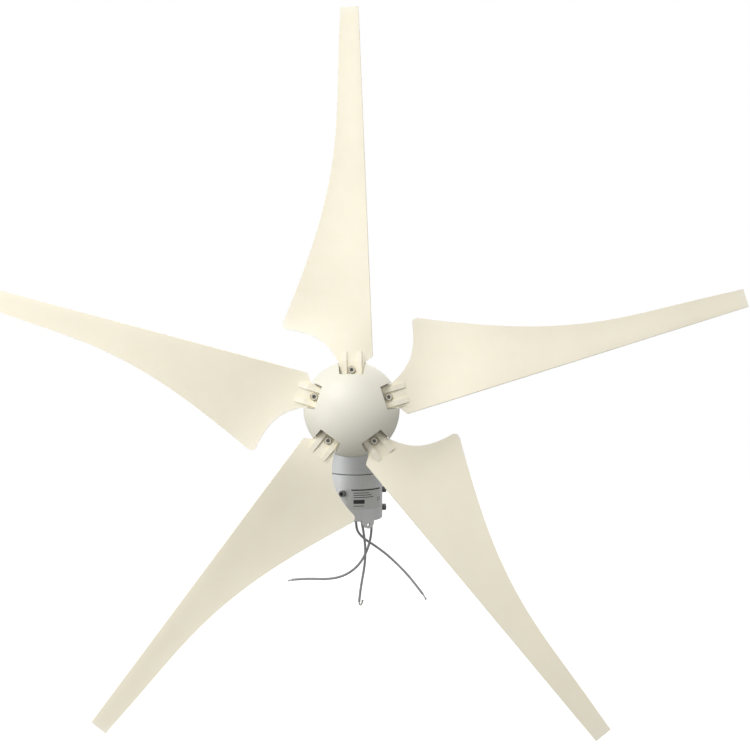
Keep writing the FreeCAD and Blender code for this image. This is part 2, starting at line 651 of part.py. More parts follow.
def nacelle_housing():
    """Drum on the rotor axis, neck on the yaw axis and an inner turret for the yaw bearings."""
    front, back = S.drum_front, S.drum_back
    drum = turned("drum_outside", [
        (0, front), (S.drum_r - 5, front), (S.drum_r - 1.5, front + 1.5), (S.drum_r, front + 5),
        (S.drum_r, back), (0, back)])
    drum.Placement = ROTOR
    neck = turned("neck_outside", [
        (0, S.neck_bottom), (S.neck_r - 1, S.neck_bottom), (S.neck_r, S.neck_bottom + 1),
        (S.neck_r, 75), (0, 75)])
    outside = fuse("nacelle_outside", [drum, neck])
    doc.recompute()
    joint = [k for k, e in enumerate(outside.Shape.Edges, 1)
             if e.Curve.TypeId == "Part::GeomBSplineCurve"]
    blended = add("Part::Fillet", "nacelle_blended")
    blended.Base = outside
    blend = DRIVING["neck_blend"]
    blended.Edges = [(k, blend, blend) for k in joint]

    bearing_end = S.front_bearing + S.bearing_wide
    chamber = turned("drum_chamber", [
        (0, front - 1), (14, front - 1), (14, S.front_bearing),
        (S.bearing_outer, S.front_bearing), (S.bearing_outer, bearing_end), (24, bearing_end),
        (24, front + 9), (S.yoke_r + 0.5, front + 9), (S.yoke_r + 0.5, S.stack_front),
        (S.stator_r, S.stack_front), (S.stator_r, S.plate_seat), (S.drum_bore, S.plate_seat),
        (S.drum_bore, back + 1), (0, back + 1)])
    chamber.Placement = ROTOR
    hollow = cut("nacelle_hollow", blended, [chamber])
    turret = cylinder("yaw_turret", S.turret_r, S.turret_top - 45, at(0, 0, 45))
    body = fuse("nacelle_body", [hollow, turret])

    yaw_room = turned("yaw_room", [
        (0, 10), (S.yaw_bore, 10), (S.yaw_bore, S.lower_bearing + S.yaw_bearing_wide),
        (S.yaw_lip, S.lower_bearing + S.yaw_bearing_wide), (S.yaw_lip, S.upper_bearing),
        (S.yaw_bore, S.upper_bearing), (S.yaw_bore, S.turret_top + 1), (0, S.turret_top + 1)])
    seal_groove = turned("seal_groove", [
        (32.5, S.neck_bottom - 1), (36.5, S.neck_bottom - 1), (36.5, S.neck_bottom + 3),
        (32.5, S.neck_bottom + 3)])
    holes = []
    for i, turn in each(4, 45):
        spot = ROTOR * around(turn, at(0, -S.tie_bolt_circle, S.stack_front - 13))
        holes.append(cylinder(f"drum_tie_hole_{i}", 2.05, 14, spot))
        spot = ROTOR * around(turn, at(0, -S.drum_r - 2, S.cover_screw, Vector(1, 0, 0), -90))
        holes.append(cylinder(f"drum_cover_hole_{i}", 2.2, 8, spot))
    for side in (-1, 1):
        holes.append(cylinder(f"turret_screw_hole_{side + 1}", 1.5, 8, at(side * 10, 28.2, 62.5)))
    tools = [yaw_room, seal_groove] + holes
    node(cut("nacelle_housing", body, tools), "nacelle_housing")

    seal = turned("neck_seal", [
        (32.7, S.sleeve_top + 1.6), (34.4, S.sleeve_top + 0.3), (36.3, S.sleeve_top + 0.3),
        (35.2, S.sleeve_top + 1.4), (36.3, S.sleeve_top + 2), (36.3, S.neck_bottom + 2.9),
        (32.7, S.neck_bottom + 2.9)])
    node(seal, "neck_seal")


def rear_cover():
    """Spun cover with a spigot into the drum and a socket for the tail boom."""
    back = S.drum_back
    spigot = S.drum_bore - 0.15
    inside = S.drum_bore - 4
    lip = S.cover_screw - 6
    blank = turned("rear_cover_blank", [
        (spigot, lip), (spigot, back + 1), (S.drum_r, back + 1), (S.drum_r, back + 4),
        (S.drum_r - 3, back + 9), (S.drum_r - 18, back + 21), (26, back + 27), (18, back + 31),
        (17, back + 35), (17, back + 46), (S.boom_r, back + 46), (S.boom_r, S.boom_front),
        (0, S.boom_front), (0, S.boom_front - 3), (24, S.boom_front - 3),
        (S.drum_r - 20, back + 16), (inside, back + 7), (inside, lip)])
    holes = []
    screws = []
    for i, turn in each(4, 45):
        spot = around(turn, at(0, -S.drum_r - 2, S.cover_screw, Vector(1, 0, 0), -90))
        holes.append(cylinder(f"cover_hole_{i}", 2.05, 12, spot))
        spot = around(turn, at(0, -S.drum_r - 0.05, S.cover_screw, Vector(1, 0, 0), -90))
        screws.append(cap_screw(f"cover_screw_{i}", spot, 7, 2, 3.6, 2.2, 1.6))
    boom_bolt_hole = cylinder("cover_boom_hole", S.bolt_r + 0.1, 60, at(
        -30, 0, S.boom_bolt, Vector(0, 1, 0), 90))
    node(cut("rear_cover", blank, holes + [boom_bolt_hole]), "rear_cover", ROTOR)
    node(group("rear_cover_screws", screws), "rear_cover_screws", ROTOR)
    gasket = turned("cover_gasket", [
        (S.drum_bore + 0.2, back), (S.drum_r - 0.5, back), (S.drum_r - 0.5, back + 1),
        (S.drum_bore + 0.2, back + 1)])
    node(gasket, "cover_gasket", ROTOR)


def tail():
    """Tube boom with a slotted end, the fin in the slot and its bolts and nuts."""
    boom = turned("boom_blank", [
        (S.boom_bore, S.boom_front), (S.boom_r, S.boom_front), (S.boom_r, S.boom_back),
        (S.boom_bore, S.boom_back)])
    slot = box("boom_slot", (-S.fin_thick * 0.5 - 0.05, -20, S.fin_slot),
               (S.fin_thick * 0.5 + 0.05, 20, S.boom_back + 5))
    bolt_places = (S.boom_bolt, S.fin_slot + 20, S.boom_back - 18)
    holes = []
    bolts = []
    for i, along in enumerate(bolt_places):
        wall = S.boom_r if i else size_of(17)
        holes.append(cylinder(f"boom_hole_{i}", S.bolt_r + 0.1, 60, at(
            -30, 0, along, Vector(0, 1, 0), 90)))
        head = at(-wall, 0, along, Vector(0, 1, 0), 90)
        screw = cap_screw(f"tail_bolt_screw_{i}", head, wall * 2 + 7)
        nut = hex_prism(f"tail_bolt_nut_{i}", 5.77, 5, at(wall, 0, along, Vector(0, 1, 0), 90))
        bore = cylinder(f"tail_bolt_nut_bore_{i}", S.bolt_r + 0.05, 7, at(
            wall - 1, 0, along, Vector(0, 1, 0), 90))
        bolts += [screw, cut(f"tail_bolt_nut_cut_{i}", nut, [bore])]
    node(cut("tail_boom", boom, [slot] + holes), "tail_boom", ROTOR)
    node(group("tail_bolts", bolts), "tail_bolts", ROTOR)

    fin = add("PartDesign::Body", "tail_fin_blank")
    plane = next(f for f in fin.Origin.OriginFeatures if f.Role == "YZ_Plane")
    sketch = fin.newObject("Sketcher::SketchObject", "fin_outline")
    sketch.AttachmentSupport = [(plane, "")]
    sketch.MapMode = "FlatFace"
    corners = [(9, 352), (-9, 352), (-9, 372), (-104, 448), (-108, 590), (92, 560), (88, 470),
               (9, 372)]
    for (y, z), (y2, z2) in zip(corners, corners[1:] + corners[:1]):
        sketch.addGeometry(Part.LineSegment(Vector(y, z, 0), Vector(y2, z2, 0)), False)
    for i, (y, z) in enumerate(corners):
        sketch.addConstraint(Sketcher.Constraint("Coincident", i, 2, (i + 1) % len(corners), 1))
        sketch.addConstraint(Sketcher.Constraint("DistanceX", -1, 1, i, 1, y))
        rule = Sketcher.Constraint("DistanceY", -1, 1, i, 1, z)
        k = sketch.addConstraint(rule)
        sketch.setExpression(f"Constraints[{k}]", (S.fin_slot + (z - DRIVING["fin_slot"])).text)
    pad = fin.newObject("PartDesign::Pad", "fin_pad")
    pad.Profile = sketch
    bind(pad, "Length", S.fin_thick)
    pad.Midplane = True
    doc.recompute()
    rounds = fin.newObject("PartDesign::Fillet", "fin_rounds")
    wanted = [f"Edge{k}" for k, e in enumerate(pad.Shape.Edges, 1)
              if abs(e.Length - DRIVING["fin_thick"]) < 0.01 and e.CenterOfMass.z > 440]
    rounds.Base = (pad, wanted)
    rounds.Radius = 18
    fin.Tip = rounds
    drills = [cylinder(f"fin_hole_{i}", S.bolt_r + 0.1, 20, at(
        -10, 0, along, Vector(0, 1, 0), 90)) for i, along in enumerate(bolt_places[1:])]
    node(cut("tail_fin", fin, drills), "tail_fin", ROTOR)


# ---------------------------------------------------------------- yaw base

def yaw_shaft():
    blank = turned("yaw_shaft_blank", [
        (S.yaw_shaft_bore, S.cup_floor), (S.cup_r - 0.5, S.cup_floor),
        (S.cup_r - 0.5, S.cup_floor + 5), (S.yaw_shoulder_r, S.cup_floor + 5),
        (S.yaw_shoulder_r, S.lower_bearing), (S.yaw_shaft_r, S.lower_bearing),
        (S.yaw_shaft_r, S.yaw_shaft_top), (S.yaw_shaft_bore, S.yaw_shaft_top)])
    holes = []
    screws = []
    for i, turn in each(4, 45):
        spot = around(turn, at(0, -23, S.cup_floor - 1))
        holes.append(cylinder(f"yaw_flange_hole_{i}", 2.6, 10, spot))
        head = around(turn, at(0, -23, S.cup_floor + 5, Vector(1, 0, 0), 180))
        screws.append(cap_screw(f"yaw_shaft_screw_{i}", head, 13, 2.5, 4.2, 2.7, 1.9))
    node(cut("yaw_shaft", blank, holes), "yaw_shaft")
    node(group("yaw_shaft_screws", screws), "yaw_shaft_screws")

    top = S.upper_bearing + S.yaw_bearing_wide
    nut = turned("yaw_lock_nut_blank", [
        (S.yaw_shaft_r, top), (21, top), (21, top + 5.5), (20, top + 6.5),
        (S.yaw_shaft_r, top + 6.5)])
    slots = [box(f"lock_nut_slot_{i}", (-2.5, -25, top - 1), (2.5, -18.5, top + 8), around(turn))
             for i, turn in each(4)]
    node(cut("yaw_lock_nut", nut, slots), "yaw_lock_nut")


def slip_rings():
    """Insulating core on the yaw shaft, three rings, and a holder with three sprung brushes."""
    core = turned("slip_ring_core", [
        (4, S.yaw_shaft_top - 10), (S.yaw_shaft_bore, S.yaw_shaft_top - 10),
        (S.yaw_shaft_bore, S.yaw_shaft_top), (S.slip_core_r, S.yaw_shaft_top),
        (S.slip_core_r, S.slip_core_top), (4, S.slip_core_top)])
    node(core, "slip_ring_core")
    rings = []
    channels = []
    for i in range(3):
        middle = S.slip_first + S.slip_pitch * i
        low = middle - S.slip_wide * 0.5
        high = middle + S.slip_wide * 0.5
        rings.append(turned(f"slip_ring_{i}", [
            (S.slip_core_r, low), (S.slip_ring_r, low), (S.slip_ring_r, high),
            (S.slip_core_r, high)]))
        half = S.brush_half
        brush = box(f"brush_blank_{i}", (-half, S.brush_front, middle - half),
                    (half, S.brush_back, middle + half))
        node(brush, f"brush_{i + 1}")
        half = half + 0.15
        channels.append(box(f"holder_channel_{i}", (-half, S.holder_front - 1, middle - half),
                            (half, S.holder_wall, middle + half)))
        spring(i, middle.value)
    node(group("slip_rings", rings), "slip_rings")

    foot = box("holder_foot", (-13, S.holder_front, S.turret_top), (13, 32, S.turret_top + 3))
    block = box("holder_block", (-6.5, S.holder_front, S.turret_top),
                (6.5, S.holder_back, S.slip_core_top + 1))
    holes = []
    screws = []
    for side in (-1, 1):
        spot = at(side * 10, 28.2, S.turret_top + 3, Vector(1, 0, 0), 180)
        holes.append(cylinder(f"foot_hole_{side + 1}", 1.65, 8, at(side * 10, 28.2, 68)))
        screws.append(cap_screw(f"holder_screw_{side + 1}", spot, 9, 1.45, 2.7, 2, 1.3))
    whole = fuse("holder_blank", [foot, block])
    node(cut("brush_holder", whole, channels + holes), "brush_holder")
    node(group("brush_holder_screws", screws), "brush_holder_screws")


def spring(i, middle):
    """A brush spring: a round wire wound from the brush's back to the holder's wall."""
    wire_r = 0.35
    coil_r = 1.7
    start = DRIVING["brush_back"] + wire_r
    length = DRIVING["holder_wall"] - DRIVING["brush_back"] - 2 * wire_r
    helix = Part.makeHelix(length / 5, length, coil_r)
    ring = Part.Wire(Part.makeCircle(wire_r, Vector(coil_r, 0, 0), Vector(0, 1, 0)))
    coil = Part.Wire(helix).makePipeShell([ring], True, True)
    obj = add("Part::Feature", f"brush_spring_{i + 1}")
    obj.Shape = coil
    obj.Placement = at(0, start, middle, Vector(1, 0, 0), -90)
    nodes[obj.Label] = obj


def radial(angle, height, out=0.0):
    """A place on the sleeve's side whose +Z points inwards; angle is from -Y towards +X."""
    return around(angle, at(0, -out, height, Vector(1, 0, 0), -90))


def pole_sleeve():
    """Sleeve that slips over the pole, with three screw tabs and six clamp screws."""
    blank = turned("sleeve_blank", [
        (S.pole_bore, S.sleeve_bottom), (S.sleeve_r - 1, S.sleeve_bottom),
        (S.sleeve_r, S.sleeve_bottom + 1), (S.sleeve_r, S.sleeve_top - 0.8),
        (S.sleeve_r - 0.8, S.sleeve_top), (S.cup_r, S.sleeve_top), (S.cup_r, S.cup_floor),
        (S.lead_hole, S.cup_floor), (S.lead_hole, S.grommet_lip + 0.1),
        (S.grommet_r + 0.2, S.grommet_lip + 0.1), (S.grommet_r + 0.2, 0), (S.pole_bore, 0)])
    rim = turned("tab_rim", [
        (S.pole_bore, S.tab_tip - 1), (S.sleeve_r, S.tab_tip - 1),
        (S.sleeve_r, S.sleeve_bottom + 4), (S.pole_bore, S.sleeve_bottom + 4)])
    tabs = []
    holes = []
    screws = []
    for i, turn in each(3, DRIVING["tab_angle"]):
        middle = S.tab_tip + S.tab_r
        tabs.append(cylinder(f"tab_end_{i}", S.tab_r, 30, radial(turn, middle, 60)))
        tabs.append(box(f"tab_root_{i}", (-S.tab_r, -60, middle), (S.tab_r, -30, -45),
                        around(turn)))
        holes.append(cylinder(f"tab_hole_{i}", S.tab_hole_r, 30, radial(turn, S.tab_hole_z, 60)))
    for row, height in (("upper", S.upper_clamp), ("lower", S.lower_clamp)):
        for i, turn in each(3, DRIVING["clamp_angle"]):
            holes.append(cylinder(f"{row}_clamp_hole_{i}", S.bolt_r + 0.05, 30,
                                  radial(turn, height, 60)))
            head = radial(turn, height, DRIVING["sleeve_r"] + 0.15)
            screws.append(cap_screw(f"{row}_clamp_screw_{i}", head, 4.7))
    for i, turn in each(4, 45):
        spot = around(turn, at(0, -23, -1))
        holes.append(cylinder(f"sleeve_thread_{i}", 2.55, 12, spot))
    lobes = common("tabs", [rim, fuse("tab_shapes", tabs)])
    node(cut("pole_sleeve", fuse("sleeve_with_tabs", [blank, lobes]), holes), "pole_sleeve")
    node(group("pole_clamp_screws", screws), "pole_clamp_screws")

    arc = S.label_to - S.label_from
    high = S.label_top - S.label_bottom
    spot = at(0, 0, S.label_bottom, Vector(0, 0, 1), DRIVING["label_from"] - 90)
    outer = cylinder("label_outer", S.sleeve_r + S.label_thick, high, spot, arc)
    inner = cylinder("label_inner", S.sleeve_r, high + 2, at(0, 0, S.label_bottom - 1))
    node(cut("rating_label", outer, [inner]), "rating_label")

    grommet = turned("cable_grommet", [
        (0, 0), (S.grommet_r - 1, 0), (S.grommet_r, 1), (S.grommet_r, S.grommet_lip),
        (S.lead_hole - 0.05, S.grommet_lip), (S.lead_hole - 0.05, S.grommet_top),
        (0, S.grommet_top)])
    node(grommet, "cable_grommet")


def lead(label, route):
    """A tube of straight runs joined by tangent arcs, each as large as its two runs allow."""
    points = [Vector(*p) for p in route]
    edges = []
    last = points[0]
    radii = []
    for a, corner, b in zip(points, points[1:], points[2:]):
        back = (a - corner).normalize()
        ahead = (b - corner).normalize()
        half_turn = (math.pi - back.getAngle(ahead)) / 2
        reach = 0.45 * min((corner - a).Length, (b - corner).Length)
        radius = reach / math.tan(half_turn)
        radii.append(radius)
        start = corner + back * reach
        end = corner + ahead * reach
        towards = (back + ahead).normalize()
        middle = corner + towards * (radius / math.cos(half_turn) - radius)
        edges.append(Part.LineSegment(last, start).toShape())
        edges.append(Part.Arc(start, middle, end).toShape())
        last = end
    edges.append(Part.LineSegment(last, points[-1]).toShape())
    path = Part.Wire(edges)
    lead_r = DRIVING["lead_r"]
    section = Part.Wire(Part.makeCircle(lead_r, points[0], points[1] - points[0]))
    obj = add("Part::Feature", label)
    obj.Shape = path.makePipeShell([section], True, False)
    nodes[label] = obj
    expected = math.pi * lead_r ** 2 * path.Length
    print(f"{label}: length {path.Length:.1f} mm, radii",
          " ".join(f"{r:.0f}" for r in radii),
          f"volume {obj.Shape.Volume:.0f} of {expected:.0f} mm3")


# ---------------------------------------------------------------- the whole turbine

nose_cone()
hub()
blades()
main_shaft()
ball_bearing("front_bearing", S.shaft_r, S.bearing_outer, S.front_bearing, S.bearing_wide,
             8, 3.3, ROTOR)
ball_bearing("rear_bearing", S.shaft_r, S.bearing_outer, S.rear_bearing, S.bearing_wide,
             8, 3.3, ROTOR)
generator()
nacelle_housing()
rear_cover()
tail()
ball_bearing("upper_yaw_bearing", S.yaw_shaft_r, S.yaw_bore, S.upper_bearing,
             S.yaw_bearing_wide, 11, 3.5, WORLD)
ball_bearing("lower_yaw_bearing", S.yaw_shaft_r, S.yaw_bore, S.lower_bearing,
             S.yaw_bearing_wide, 11, 3.5, WORLD)
yaw_shaft()
slip_rings()
pole_sleeve()
for number, points_along in enumerate(LEADS, 1):
    lead(f"lead_{number}", points_along)

doc.recompute()
failed = [o.Label for o in doc.Objects if "Invalid" in o.State or "Error" in o.State]
if failed:
    raise RuntimeError(f"objects that failed to build: {failed}")
for name, obj in nodes.items():
    if obj.Shape.isNull() or not obj.Shape.isValid() or not obj.Shape.Solids:
        raise RuntimeError(f"{name} is not a valid solid")

os.makedirs("parts", exist_ok=True)
for name, obj in nodes.items():
    obj.Shape.exportStep(f"parts/{name}.step")
print(len(nodes), "sub-parts")
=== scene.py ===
import json
import math

import bpy
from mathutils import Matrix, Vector


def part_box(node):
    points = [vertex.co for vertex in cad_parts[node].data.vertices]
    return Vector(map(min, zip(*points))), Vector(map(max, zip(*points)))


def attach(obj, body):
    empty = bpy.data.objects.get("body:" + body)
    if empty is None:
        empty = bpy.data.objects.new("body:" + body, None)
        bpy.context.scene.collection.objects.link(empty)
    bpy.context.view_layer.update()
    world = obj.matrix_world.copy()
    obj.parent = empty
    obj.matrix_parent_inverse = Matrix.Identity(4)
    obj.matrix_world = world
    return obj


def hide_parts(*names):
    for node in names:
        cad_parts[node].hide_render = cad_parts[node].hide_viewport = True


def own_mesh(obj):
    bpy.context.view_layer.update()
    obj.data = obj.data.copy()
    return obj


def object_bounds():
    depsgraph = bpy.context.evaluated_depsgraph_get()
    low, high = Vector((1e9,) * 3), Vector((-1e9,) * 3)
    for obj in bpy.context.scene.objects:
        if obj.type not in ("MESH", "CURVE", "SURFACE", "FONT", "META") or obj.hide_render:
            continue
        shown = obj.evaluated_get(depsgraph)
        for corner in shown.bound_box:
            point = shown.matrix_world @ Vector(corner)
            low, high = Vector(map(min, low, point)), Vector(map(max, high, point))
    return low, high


# The looks of the small five-blade wind turbine, in metres, in the CAD's frame: the origin is
# the pole stop in the sleeve, +Z is the yaw axis and the rotor faces -Y.

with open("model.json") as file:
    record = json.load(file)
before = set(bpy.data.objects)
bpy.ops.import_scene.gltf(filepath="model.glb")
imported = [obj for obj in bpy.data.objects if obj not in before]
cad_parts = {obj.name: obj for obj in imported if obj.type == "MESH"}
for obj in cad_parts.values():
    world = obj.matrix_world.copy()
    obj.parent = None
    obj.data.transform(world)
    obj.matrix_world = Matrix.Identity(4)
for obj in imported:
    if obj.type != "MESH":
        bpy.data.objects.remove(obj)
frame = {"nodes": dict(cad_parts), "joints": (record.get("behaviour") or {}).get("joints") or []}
CAD_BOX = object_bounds()
NODES = frame["nodes"]

MM = 0.001
SPIN = next(j for j in frame["joints"] if j["name"] == "rotor_spin")
HUB = Vector(SPIN["pos_m"])
SHAFT = Vector(SPIN["axis"]).normalized()
TILT = math.atan2(-SHAFT.z, SHAFT.y)

# ------------------------------------------------------------------ camera


CAMERA_AZIMUTH = math.radians(2.5)
CAMERA_ELEVATION = math.radians(6.3)
CAMERA_DISTANCE = 2.3
CAMERA_SHIFT = (0.0313, 0.0456)


def make_camera():
    """The photo's view: a little to the right of the rotor and a little above it."""
    away = Vector((math.sin(CAMERA_AZIMUTH) * math.cos(CAMERA_ELEVATION),
                   -math.cos(CAMERA_AZIMUTH) * math.cos(CAMERA_ELEVATION),
                   math.sin(CAMERA_ELEVATION)))
    data = bpy.data.cameras.new("camera")
    data.lens = 74.85
    data.sensor_width = 36
    data.shift_x, data.shift_y = CAMERA_SHIFT
    data.clip_start, data.clip_end = 0.05, 50
    camera = bpy.data.objects.new("camera", data)
    bpy.context.scene.collection.objects.link(camera)
    camera.rotation_mode = "QUATERNION"
    camera.location = HUB + away * CAMERA_DISTANCE
    camera.rotation_quaternion = (-away).to_track_quat("-Z", "Y")
    bpy.context.scene.camera = camera


# ------------------------------------------------------------------ node materials

NOISE_ROUGHNESS = 0.55
ROUGH_RANGE = (0.3, 0.7)        # of a noise, across which the roughness changes
CONVEX_RANGE = (0.53, 0.6)      # of the pointiness, across which an edge is rubbed
OCCLUSION_SHADE_RANGE = (0.25, 0.75)       # of the ambient occlusion, across which a recess darkens


class Material:
    """A Principled material and the few node patterns that the turbine's surfaces need."""

    def __init__(self, name, colour, roughness, metallic=0.0):
        self.material = bpy.data.materials.new(name)
        self.material.use_nodes = True
        self.tree = self.material.node_tree
        self.shader = self.tree.nodes["Principled BSDF"]
        self.shader.inputs["Base Color"].default_value = (*colour, 1)
        self.shader.inputs["Roughness"].default_value = roughness
        self.shader.inputs["Metallic"].default_value = metallic
        self.colour = colour
        self.place = self.add("ShaderNodeTexCoord").outputs["Object"]
        self.bump_end = None

    def add(self, kind, **settings):
        node = self.tree.nodes.new(kind)
        for key, value in settings.items():
            setattr(node, key, value)
        return node

    def link(self, out, into):
        self.tree.links.new(out, into)

    def mapped(self, scale=(1, 1, 1), turn=(0, 0, 0), shift=(0, 0, 0)):
        """Object coordinates, shifted to zero, turned and then stretched."""
        moved = self.add("ShaderNodeMapping", vector_type="POINT")
        moved.inputs["Location"].default_value = [-c for c in shift]
        self.link(self.place, moved.inputs["Vector"])
        turned = self.add("ShaderNodeMapping", vector_type="POINT")
        turned.inputs["Rotation"].default_value = turn
        self.link(moved.outputs["Vector"], turned.inputs["Vector"])
        sized = self.add("ShaderNodeMapping", vector_type="POINT")
        sized.inputs["Scale"].default_value = scale
        self.link(turned.outputs["Vector"], sized.inputs["Vector"])
        return sized.outputs["Vector"]

    def noise(self, scale, detail, where=None):
        node = self.add("ShaderNodeTexNoise")
        node.inputs["Scale"].default_value = scale
        node.inputs["Detail"].default_value = detail
        node.inputs["Roughness"].default_value = NOISE_ROUGHNESS
        self.link(where if where is not None else self.place, node.inputs["Vector"])
        return node.outputs["Fac"]

    def waves(self, scale, where, kind, distortion=0.0):
        """Bands along Z, or rings around it."""
        node = self.add("ShaderNodeTexWave", wave_type=kind, bands_direction="Z",
                        rings_direction="Z")
        node.inputs["Scale"].default_value = scale
        node.inputs["Distortion"].default_value = distortion
        node.inputs["Detail"].default_value = 1
        self.link(where, node.inputs["Vector"])
        return node.outputs["Fac"]

    def ranged(self, value, low, high, start, end):
        """Turns start to end of the value into low to high, and holds it beyond them."""
        node = self.add("ShaderNodeMapRange")
        node.clamp = True
        for name, number in (("From Min", start), ("From Max", end),
                             ("To Min", low), ("To Max", high)):
            node.inputs[name].default_value = number
        self.link(value, node.inputs["Value"])
        return node.outputs["Result"]

    def tint(self, other, mask):
        """Mixes another colour into the base colour where mask is high."""
        mix = self.add("ShaderNodeMix", data_type="RGBA")
        socket = self.shader.inputs["Base Color"]
        if socket.is_linked:
            self.link(socket.links[0].from_socket, mix.inputs["A"])
        else:
            mix.inputs["A"].default_value = (*self.colour, 1)
        mix.inputs["B"].default_value = (*other, 1)
        self.link(mask, mix.inputs["Factor"])
        self.link(mix.outputs["Result"], socket)

    def rough(self, value, low, high):
        self.link(self.ranged(value, low, high, *ROUGH_RANGE), self.shader.inputs["Roughness"])

    def bump(self, height, strength, distance):
        """Adds a bump on top of those before it."""
        node = self.add("ShaderNodeBump")
        node.inputs["Strength"].default_value = strength
        node.inputs["Distance"].default_value = distance
        self.link(height, node.inputs["Height"])
        if self.bump_end is not None:
            self.link(self.bump_end, node.inputs["Normal"])
        self.bump_end = node.outputs["Normal"]
        self.link(self.bump_end, self.shader.inputs["Normal"])

    def edges(self, other, amount):
        """Rubs another colour into the convex edges."""
        point = self.add("ShaderNodeNewGeometry").outputs["Pointiness"]
        self.tint(other, self.ranged(point, 0, amount, *CONVEX_RANGE))

    def paint_recess_shade(self, other, reach):
        """Paints shade into sockets and corners that little light reaches, darkening them where
        the ambient occlusion is low.
        """
        node = self.add("ShaderNodeAmbientOcclusion", samples=8, only_local=True)
        node.inputs["Distance"].default_value = reach
        self.tint(other, self.ranged(node.outputs["AO"], 1, 0, *OCCLUSION_SHADE_RANGE))

    def across_shaft(self, scale):
        """Coordinates of the rotor's own frame, its Z along the shaft."""
        return self.mapped(scale=scale, turn=(TILT, 0, 0), shift=HUB)


def blade_plastic():
    """Cream glass-filled nylon with a moulded skin and faint flow marks along the blade."""
    m = Material("blade_plastic", (0.89, 0.835, 0.675), 0.46)
    m.tint((0.83, 0.775, 0.625), m.ranged(m.noise(7, 3), 0, 0.75, 0.35, 0.75))
    m.tint((0.885, 0.845, 0.72), m.ranged(m.noise(40, 5), 0, 0.5, 0.45, 0.8))
    m.rough(m.noise(60, 4), 0.40, 0.54)
    m.bump(m.noise(22, 3), 0.12, 0.0012)
    m.bump(m.noise(1500, 2), 0.10, 0.0002)
    m.edges((0.90, 0.86, 0.76), 0.5)
    m.shader.inputs["Subsurface Weight"].default_value = 0.05
    m.shader.inputs["Subsurface Radius"].default_value = (0.004, 0.003, 0.002)
    m.shader.inputs["Specular IOR Level"].default_value = 0.42
    return m.material


def nose_plastic():
    """Light grey moulded dome, satin, with a faint parting bloom and fine grain."""
    m = Material("nose_plastic", (0.80, 0.78, 0.675), 0.46)
    m.tint((0.75, 0.735, 0.63), m.ranged(m.noise(14, 4), 0, 0.7, 0.35, 0.75))
    m.rough(m.noise(90, 4), 0.42, 0.54)
    m.bump(m.noise(45, 3), 0.08, 0.0008)
    m.bump(m.noise(1800, 2), 0.08, 0.00015)
    return m.material


def body_paint():
    """Light grey aluminium paint with orange peel over a die casting, worn on its edges."""
    m = Material("body_paint", (0.78, 0.805, 0.83), 0.40)
    m.tint((0.70, 0.725, 0.75), m.ranged(m.noise(18, 5), 0, 0.7, 0.4, 0.75))
    flake = m.noise(4200, 1)
    m.tint((0.86, 0.88, 0.90), m.ranged(flake, 0, 0.45, 0.58, 0.72))
    m.rough(m.noise(120, 4), 0.34, 0.48)
    m.bump(m.noise(420, 2), 0.16, 0.0004)
    m.bump(m.noise(60, 3), 0.10, 0.0006)
    m.edges((0.84, 0.85, 0.86), 0.6)
    return m.material


def turned_steel(name, colour, roughness):
    """Bright steel with fine machining lines and slight stains."""
    m = Material(name, colour, roughness, 1.0)
    m.tint(tuple(0.72 * c for c in colour), m.ranged(m.noise(70, 5), 0, 0.5, 0.45, 0.8))
    m.rough(m.noise(160, 4), roughness - 0.07, roughness + 0.10)
    lines = m.across_shaft((60, 60, 2600))
    m.bump(m.noise(1, 2, where=lines), 0.15, 0.00008)
    m.edges(tuple(min(1, 1.25 * c) for c in colour), 0.6)
    return m.material


def stainless():
    """Polished screws whose sockets and counterbores are darkened with painted shade."""
    m = Material("stainless_screws", (0.80, 0.765, 0.66), 0.34, 0.7)
    m.tint((0.50, 0.46, 0.38), m.ranged(m.noise(500, 4), 0, 0.5, 0.5, 0.8))
    m.rough(m.noise(900, 3), 0.20, 0.36)
    m.bump(m.noise(2400, 2), 0.12, 0.00006)
    m.edges((0.90, 0.87, 0.78), 0.6)
    # Painted shade: the hex sockets and counterbores are darkened to near black where the
    # ambient occlusion is low.
    m.paint_recess_shade((0.035, 0.032, 0.028), 0.0045)
    return m.material


def black_oxide():
    """Blackened cap screws, rubbed bright on their edges."""
    m = Material("black_oxide", (0.10, 0.10, 0.105), 0.40, 0.6)
    m.tint((0.22, 0.215, 0.21), m.ranged(m.noise(400, 4), 0, 0.5, 0.5, 0.8))
    m.rough(m.noise(700, 3), 0.34, 0.52)
    m.bump(m.noise(2000, 2), 0.15, 0.00006)
    m.edges((0.34, 0.34, 0.35), 0.7)
    return m.material


def cast_aluminium():
    """Dull cast metal with turning marks around the shaft."""
    m = Material("cast_aluminium", (0.70, 0.705, 0.715), 0.36, 1.0)
    m.tint((0.55, 0.555, 0.565), m.ranged(m.noise(50, 5), 0, 0.6, 0.4, 0.75))
    m.rough(m.noise(200, 4), 0.28, 0.46)
    shaft_frame = m.across_shaft((1, 1, 1))
    m.bump(m.waves(900, shaft_frame, "RINGS"), 0.10, 0.00006)
    m.bump(m.noise(700, 2), 0.10, 0.0001)
    return m.material


def laminations():
    """Half-millimetre steel sheets stacked along the shaft."""
    m = Material("laminations", (0.17, 0.175, 0.19), 0.48, 0.8)
    shaft_frame = m.across_shaft((1, 1, 1))
    sheets = m.waves(314, shaft_frame, "BANDS")
    m.tint((0.30, 0.305, 0.32), m.ranged(sheets, 0, 0.8, 0.35, 0.75))
    m.tint((0.30, 0.16, 0.09), m.ranged(m.noise(55, 5), 0, 0.25, 0.6, 0.8))
    m.rough(m.noise(220, 4), 0.40, 0.58)
    m.bump(sheets, 0.5, 0.00012)
    return m.material


